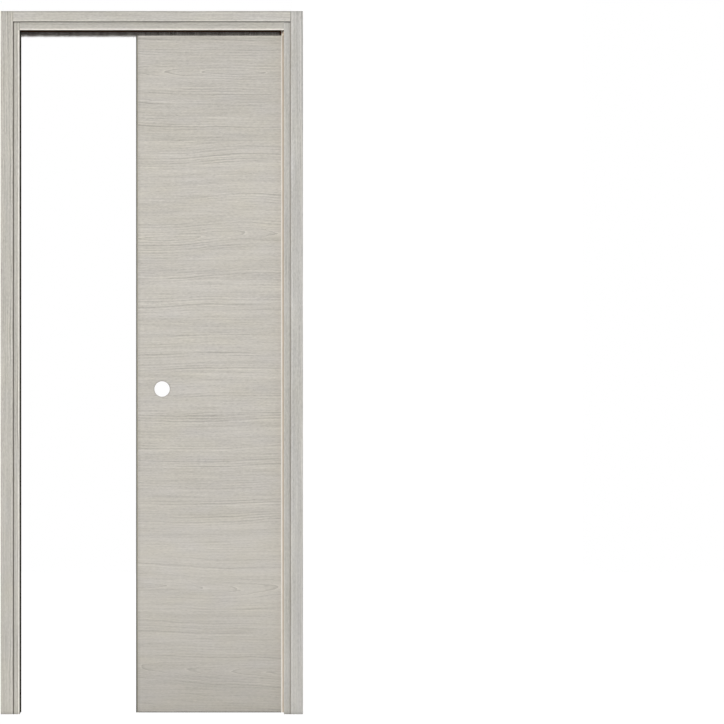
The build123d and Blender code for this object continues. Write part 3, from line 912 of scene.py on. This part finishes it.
def paint_leaf():
    """The laminate of the leaf's faces and edges, and the boards inside it."""
    skin_shades = [
        shade(Z, leaf_low.z, leaf_high.z, LEAF_HEIGHT_SHADE),
        short_shade(Z, leaf_low.z, LEAF_FOOT_PAINTED_SHADE),
        short_shade(Z, LOW_SEAM, LOW_SEAM_SHADE),
        short_shade(Z, HIGH_SEAM, HIGH_SEAM_SHADE),
        short_shade(Z, LEAF_BRUSH_LINE, LEAF_UNDER_BRUSH_PAINTED_LIGHT),
        short_shade(X, leaf_low.x, LEAF_LEAD_PAINTED_SHADE),
        (around_bore(BORE_REACH), grey_stops(BORE_RIM_PAINTED_SHADE, BORE_REACH, bore_radius_mm)),
    ]
    for face, shift in LEAF_SHIFTS.items():
        skin = laminate(
            f"leaf_{face}_laminate",
            "X",
            shift,
            LEAF_TONE,
            bare_skin,
            LEAF_BOARDS,
            skin_shades,
            LEAF_CONTRAST,
        )
        paint(f"leaf_skin_{face}", skin)
    lipping_shades = [
        shade(X, lipping_x, leaf_low.x, LIPPING_FRONT_PAINTED_SHADE),
        shade(Z, leaf_low.z, leaf_high.z, LIPPING_HEIGHT_SHADE),
    ]
    edge = laminate(
        "leaf_edge_laminate",
        "Z",
        LEAF_EDGE_SHIFT,
        EDGE_TONE,
        bare_lipping,
        shades=lipping_shades,
    )
    paint("leaf_lead_edge", edge)
    paint("leaf_tail_edge", edge)
    board = bare_board("leaf_bare_board")
    for name in ("stile_lead", "stile_tail", "rail_top", "rail_bottom", "core"):
        paint(f"leaf_{name}", board)


def paint_seals():
    """The rubber of the lips, and the plastic that carries the brushes."""
    closing_rubber = rubber("closing_rubber_brown", CLOSING_RUBBER_TONE)
    lip_width = pocket_face_x - lip_tip_x
    stripes = [(distance / (TO_MILLIMETRES * lip_width), srgb(*tone)) for distance, tone in LIP_STRIPES]
    lean_x = lip_tip_x + LIP_LEAN_START
    place = along_axis(X, lean_x, lean_x + lip_width, lean=LIP_LEAN)
    painted_top_light = shade(Z, lip_top_z, lip_top_z - LIP_TOP_REACH, LIP_TOP_PAINTED_LIGHT)
    pocket_rubber = rubber("pocket_rubber_tan", LIP_TONE, [(place, stripes), painted_top_light])
    brush_plastic = moulded_plastic("brush_plastic_brown", BRUSH_PLASTIC_TONE, roughness=0.6)
    for face in ("front", "back"):
        paint(f"closing_lip_{face}", closing_rubber)
        paint(f"pocket_lip_{face}", pocket_rubber)
        paint(f"head_brush_carrier_{face}", brush_plastic)


def paint_hardware():
    """Metal and plastic on the track, its stops, the floor guide and the hangers."""
    paint("track", drawn_aluminium("track_anodised"))
    stop_plastic = moulded_plastic("stop_plastic_grey", STOP_PLASTIC_TONE, roughness=0.45)
    for name in ("track_stop_closing", "track_stop_pocket", "floor_guide"):
        paint(name, stop_plastic)
    steel = zinc_steel("hanger_zinc")
    nylon = moulded_plastic("wheel_nylon_white", WHEEL_NYLON_TONE, roughness=0.35)
    for end in ("lead", "tail"):
        for piece in ("carriage", "bolt", "plate"):
            paint(f"hanger_{end}_{piece}", steel)
        paint(f"hanger_{end}_wheels", nylon)


# Brush hair, in metres. A drop is a share of the height of the brush.

HAIR_TONE = (97, 93, 89)
HAIR_SEEDS = {"front": 11, "back": 12}
HAIR_PITCH = 0.00030
HAIR_ROWS = 4
HAIR_ROW_SCATTER = (0.1, 0.9)
HAIR_RADIUS = 0.00016
HAIR_SIDES = 3
HAIR_THICKNESS_AT_SAG = 0.85
HAIR_ROOT_DEPTH = 0.0034
HAIR_ROOT_INSET = 0.0020
HAIR_TIP_DEPTH = 0.0028
HAIR_TIP_SCATTER = 0.0006
HAIR_SAG = 0.0007
HAIR_SAG_SCATTER = (0.3, 1.0)
HAIR_DROP = 1.09
HAIR_DROP_SCATTER = 0.16
HAIR_DROP_LIMITS = (0.65, 1.40)
HAIR_BENT_DROP = 0.89
HAIR_BENT_SPREAD = 0.5


def hair_lines(node, seed):
    """The roots, sags and tips of a brush's hairs, as if it stood on the back of the wall."""
    luck = np.random.default_rng(seed)
    low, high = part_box(node)
    far_y = max(abs(low.y), abs(high.y))
    near_y = min(abs(low.y), abs(high.y))
    least_x = low.x + HAIR_RADIUS
    most_x = high.x - HAIR_RADIUS
    count = int((high.x - low.x) / HAIR_PITCH) * HAIR_ROWS
    row = np.arange(count) % HAIR_ROWS
    share = (row + luck.uniform(*HAIR_ROW_SCATTER, count)) / HAIR_ROWS
    x = luck.uniform(least_x, most_x, count)
    root_y = far_y - HAIR_ROOT_INSET + HAIR_ROOT_DEPTH * (share - 0.5)
    tip_y = near_y + 2 * HAIR_RADIUS + HAIR_TIP_DEPTH * share
    tip_x = np.clip(x + luck.normal(0, HAIR_TIP_SCATTER, count), least_x, most_x)
    drop = np.clip(luck.normal(HAIR_DROP, HAIR_DROP_SCATTER, count), *HAIR_DROP_LIMITS)
    drop = np.where(x > lipping_x, HAIR_BENT_DROP + HAIR_BENT_SPREAD * (drop - HAIR_DROP), drop)
    root = np.stack([x, root_y, np.full(count, high.z)], 1)
    tip = np.stack([tip_x, tip_y, high.z - (high.z - low.z) * drop], 1)
    sag = (root + tip) / 2
    sag[:, Z] -= HAIR_SAG * luck.uniform(*HAIR_SAG_SCATTER, count)
    return root, sag, tip


def hair_faces(count):
    """The faces of all hairs: side walls, a root cap, and triangles that close at the tip."""
    sides = range(HAIR_SIDES)
    after = [(side + 1) % HAIR_SIDES for side in sides]
    walls = [(side, after[side], HAIR_SIDES + after[side], HAIR_SIDES + side) for side in sides]
    cap = tuple(reversed(sides))
    closing = [(HAIR_SIDES + side, HAIR_SIDES + after[side], 2 * HAIR_SIDES) for side in sides]
    size = 2 * HAIR_SIDES + 1
    faces = [*walls, cap, *closing]
    return [tuple(size * hair + corner for corner in face) for hair in range(count) for face in faces]


def make_hair(face, material):
    """The pile of one head brush: rows of bent, tapered hairs from the carrier to the leaf."""
    node = f"head_brush_pile_{face}"
    root, sag, tip = hair_lines(node, HAIR_SEEDS[face])
    corners = []
    for centre, thickness in ((root, 1.0), (sag, HAIR_THICKNESS_AT_SAG)):
        for side in range(HAIR_SIDES):
            angle = math.tau * side / HAIR_SIDES
            around = HAIR_RADIUS * thickness
            corners.append(centre + np.array([around * math.cos(angle), around * math.sin(angle), 0.0]))
    corners.append(tip)
    points = np.stack(corners, 1)
    if face == "front":
        points[:, :, Y] *= -1.0
    mesh = bpy.data.meshes.new(f"brush_hair_{face}")
    mesh.from_pydata(points.reshape(-1, 3).tolist(), [], hair_faces(len(tip)))
    if face == "front":
        mesh.flip_normals()
    mesh.materials.append(material)
    hair = bpy.data.objects.new(f"brush_hair_{face}", mesh)
    bpy.context.scene.collection.objects.link(hair)
    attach(hair, "frame")
    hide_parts(node)


# Screws, in metres and radians, with the profile and the recess as shares of the head's size

SCREW_HEAD_RADIUS = 0.0038
SCREW_HEAD_HEIGHT = 0.0010
SCREW_PROFILE = [(0.0, 1.0), (0.45, 0.93), (0.8, 0.62), (1.0, 0.18), (1.0, 0.0)]
SCREW_STEPS = 32
MERGE_DISTANCE = 1e-6
RECESS_LENGTH = 1.1
RECESS_WIDTH = 0.22
RECESS_DEPTH = 1.2
PLATE_SCREW_SPACING = 0.052
PLATE_SCREW_TURNS = (0.4, 1.1)
TRACK_WEB = 0.003
TRACK_SCREW_INSET = 0.070
TRACK_SCREW_PITCH = 0.300
TRACK_SCREW_TURN = 0.3


def screw_blank():
    """A low domed head without its recess, standing on z 0."""
    shape = bmesh.new()
    points = [
        shape.verts.new((share * SCREW_HEAD_RADIUS, 0, rise * SCREW_HEAD_HEIGHT))
        for share, rise in SCREW_PROFILE
    ]
    edges = [shape.edges.new(pair) for pair in zip(points, points[1:])]
    bmesh.ops.spin(
        shape,
        geom=points + edges,
        axis=(0, 0, 1),
        cent=(0, 0, 0),
        angle=math.tau,
        steps=SCREW_STEPS,
        use_merge=True,
    )
    bmesh.ops.remove_doubles(shape, verts=shape.verts, dist=MERGE_DISTANCE)
    bmesh.ops.holes_fill(shape, edges=[edge for edge in shape.edges if edge.is_boundary])
    bmesh.ops.recalc_face_normals(shape, faces=shape.faces)
    mesh = bpy.data.meshes.new("screw_head")
    shape.to_mesh(mesh)
    shape.free()
    return mesh


def screw_mesh(material):
    """A low domed screw head with a cross recess, standing on z 0."""
    blank = screw_blank()
    blank.materials.append(material)
    head = bpy.data.objects.new("screw_blank", blank)
    bpy.context.scene.collection.objects.link(head)
    cutters = []
    for turn in range(2):
        bpy.ops.mesh.primitive_cube_add(size=1.0, location=(0, 0, SCREW_HEAD_HEIGHT))
        cutter = bpy.context.object
        cutter.scale = (
            SCREW_HEAD_RADIUS * RECESS_LENGTH,
            SCREW_HEAD_RADIUS * RECESS_WIDTH,
            SCREW_HEAD_HEIGHT * RECESS_DEPTH,
        )
        cutter.rotation_euler.z = math.pi / 2 * turn
        cut = head.modifiers.new("cross", "BOOLEAN")
        cut.object = cutter
        cut.operation = "DIFFERENCE"
        cut.solver = "EXACT"
        cutters.append(cutter)
    bpy.context.view_layer.update()
    made = bpy.data.meshes.new_from_object(head.evaluated_get(bpy.context.evaluated_depsgraph_get()))
    for old in cutters + [head]:
        bpy.data.objects.remove(old)
    return made


def place_screw(mesh, name, body, place, turn, upside=0.0):
    """One screw head lying flat at a place, turned about its own line and tipped over if it hangs."""
    screw = bpy.data.objects.new(name, mesh)
    tip = Matrix.Rotation(upside, 4, "X")
    screw.matrix_world = Matrix.Translation(place) @ tip @ Matrix.Rotation(turn, 4, "Z")
    bpy.context.scene.collection.objects.link(screw)
    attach(screw, body)


def make_screws(material):
    """The screws that hold the hanger plates to the leaf, and the track to what is above it."""
    mesh = screw_mesh(material)
    for end in ("lead", "tail"):
        low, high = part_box(f"hanger_{end}_plate")
        middle = (low + high) / 2
        for number, turn in enumerate(PLATE_SCREW_TURNS):
            x = middle.x + (number - 0.5) * PLATE_SCREW_SPACING
            place_screw(mesh, f"plate_screw_{end}_{number}", "leaf", Vector((x, 0, high.z)), turn)
    low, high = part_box("track")
    run = high.x - low.x - 2 * TRACK_SCREW_INSET
    for number in range(int(run / TRACK_SCREW_PITCH) + 1):
        x = low.x + TRACK_SCREW_INSET + number * TRACK_SCREW_PITCH
        place = Vector((x, 0, high.z - TRACK_WEB))
        place_screw(mesh, f"track_screw_{number}", "frame", place, number * TRACK_SCREW_TURN, math.pi)


# Studio, in metres. A light is given by its direction, its strength and its softness in degrees.

PICTURE_SPAN = 2.1525
PICTURE_CENTRE = Vector((1.0474, 0.0, 1.0473))
CAMERA_DISTANCE = 90.0
CLIP_DISTANCES = 4
SENSOR_WIDTH = 36.0
FLOOR_REACH = 60.0
FLOOR_THICKNESS = 0.05
WALL_BOARD = 0.0125
WALL_END_X = 1.70
WALL_TOP_Z = 2.15
WHITE_PAINT = 0.85
WHITE_ROUGHNESS = 0.9
BACKDROP_GLOW = 0.85
BACKDROP_STRENGTH = 1.10
WORLD_FILL = 0.45
LIGHTS = {
    "front": ((0.14, 0.94, -0.26), 1.30, 9.0),
    "back": ((-0.14, -0.94, -0.26), 1.30, 9.0),
    "left": ((0.95, 0.0, -0.30), 1.0, 20.0),
    "right": ((-0.95, 0.0, -0.30), 1.0, 20.0),
}


def make_camera():
    """A level, far camera straight in front, as the photograph was taken."""
    data = bpy.data.cameras.new("camera")
    data.sensor_width = SENSOR_WIDTH
    data.lens = SENSOR_WIDTH * CAMERA_DISTANCE / PICTURE_SPAN
    data.clip_end = CLIP_DISTANCES * CAMERA_DISTANCE
    camera = bpy.data.objects.new("camera", data)
    camera.location = PICTURE_CENTRE + Vector((0, cad_box[0].y - CAMERA_DISTANCE, 0))
    camera.rotation_euler = (math.pi / 2, 0, 0)
    bpy.context.scene.collection.objects.link(camera)
    bpy.context.scene.camera = camera


def make_light(name, toward, strength, softness):
    """A soft distant light that shines along a direction."""
    data = bpy.data.lights.new(name, "SUN")
    data.energy = strength
    data.angle = math.radians(softness)
    light = bpy.data.objects.new(name, data)
    light.rotation_mode = "QUATERNION"
    light.rotation_quaternion = Vector(toward).to_track_quat("-Z", "Y")
    bpy.context.scene.collection.objects.link(light)


def make_world():
    """A white room: plain white where it is seen, and soft fill light elsewhere."""
    world = bpy.data.worlds.new("studio")
    bpy.context.scene.world = world
    world.use_nodes = True
    tree = world.node_tree
    seen = tree.nodes.new("ShaderNodeBackground")
    seen.inputs["Strength"].default_value = 1.0
    seen.inputs["Color"].default_value = grey(1.0)
    light = tree.nodes["Background"]
    light.inputs["Color"].default_value = grey(1.0)
    light.inputs["Strength"].default_value = WORLD_FILL
    path = tree.nodes.new("ShaderNodeLightPath")
    either_ray = tree.nodes.new("ShaderNodeMath")
    either_ray.operation = "MAXIMUM"
    tree.links.new(path.outputs["Is Camera Ray"], either_ray.inputs[0])
    tree.links.new(path.outputs["Is Glossy Ray"], either_ray.inputs[1])
    blend = tree.nodes.new("ShaderNodeMixShader")
    tree.links.new(either_ray.outputs[0], blend.inputs[0])
    tree.links.new(light.outputs[0], blend.inputs[1])
    tree.links.new(seen.outputs[0], blend.inputs[2])
    tree.links.new(blend.outputs[0], tree.nodes["World Output"].inputs["Surface"])


def backdrop_material(name):
    """White paint that also glows a little for the camera, so that it reads as plain white."""
    material = bpy.data.materials.new(name)
    material.use_nodes = True
    tree = material.node_tree
    white = tree.nodes["Principled BSDF"]
    white.inputs["Base Color"].default_value = grey(WHITE_PAINT)
    white.inputs["Roughness"].default_value = WHITE_ROUGHNESS
    white.inputs["Specular IOR Level"].default_value = 0.0
    light = tree.nodes.new("ShaderNodeEmission")
    light.inputs["Strength"].default_value = BACKDROP_STRENGTH
    path = tree.nodes.new("ShaderNodeLightPath")
    share = tree.nodes.new("ShaderNodeMath")
    share.operation = "MULTIPLY"
    share.inputs[1].default_value = BACKDROP_GLOW
    tree.links.new(path.outputs["Is Camera Ray"], share.inputs[0])
    blend = tree.nodes.new("ShaderNodeMixShader")
    tree.links.new(share.outputs[0], blend.inputs[0])
    tree.links.new(white.outputs[0], blend.inputs[1])
    tree.links.new(light.outputs[0], blend.inputs[2])
    tree.links.new(blend.outputs[0], tree.nodes["Material Output"].inputs["Surface"])
    return material


def stage_box(name, low, high, material):
    """A plain box that belongs to the studio."""
    bpy.ops.mesh.primitive_cube_add(size=1.0, location=(Vector(low) + Vector(high)) / 2)
    box = bpy.context.object
    box.name = name
    box.scale = Vector(high) - Vector(low)
    box.data.materials.append(material)


def make_studio():
    """The floor, and the two boards of the wall that the leaf slides between."""
    white = backdrop_material("backdrop_white")
    floor_low = (-FLOOR_REACH, -FLOOR_REACH, -FLOOR_THICKNESS)
    stage_box("floor", floor_low, (FLOOR_REACH, FLOOR_REACH, 0.0), white)
    for name, near, far in (
        ("wall_board_front", -wall_face_y, WALL_BOARD - wall_face_y),
        ("wall_board_back", wall_face_y - WALL_BOARD, wall_face_y),
    ):
        stage_box(name, (pocket_outer_x, near, 0.0), (WALL_END_X, far, WALL_TOP_Z), white)
    make_world()
    for name, (toward, strength, softness) in LIGHTS.items():
        make_light(name, toward, strength, softness)
    bpy.context.scene.view_settings.view_transform = "Standard"


make_camera()
make_studio()
paint_jambs()
paint_casings()
paint_leaf()
paint_seals()
paint_hardware()
pile_low, pile_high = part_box("head_brush_pile_front")
# The brush hair, under painted shade at the roots and painted light at the tips
hair_material = pile("brush_pile_grey", HAIR_TONE, [shade(Z, pile_high.z, pile_low.z, HAIR_PAINTED_ROOT_SHADE_AND_TIP_LIGHT)])
make_hair("front", hair_material)
make_hair("back", hair_material)
make_screws(zinc_steel("screw_zinc"))
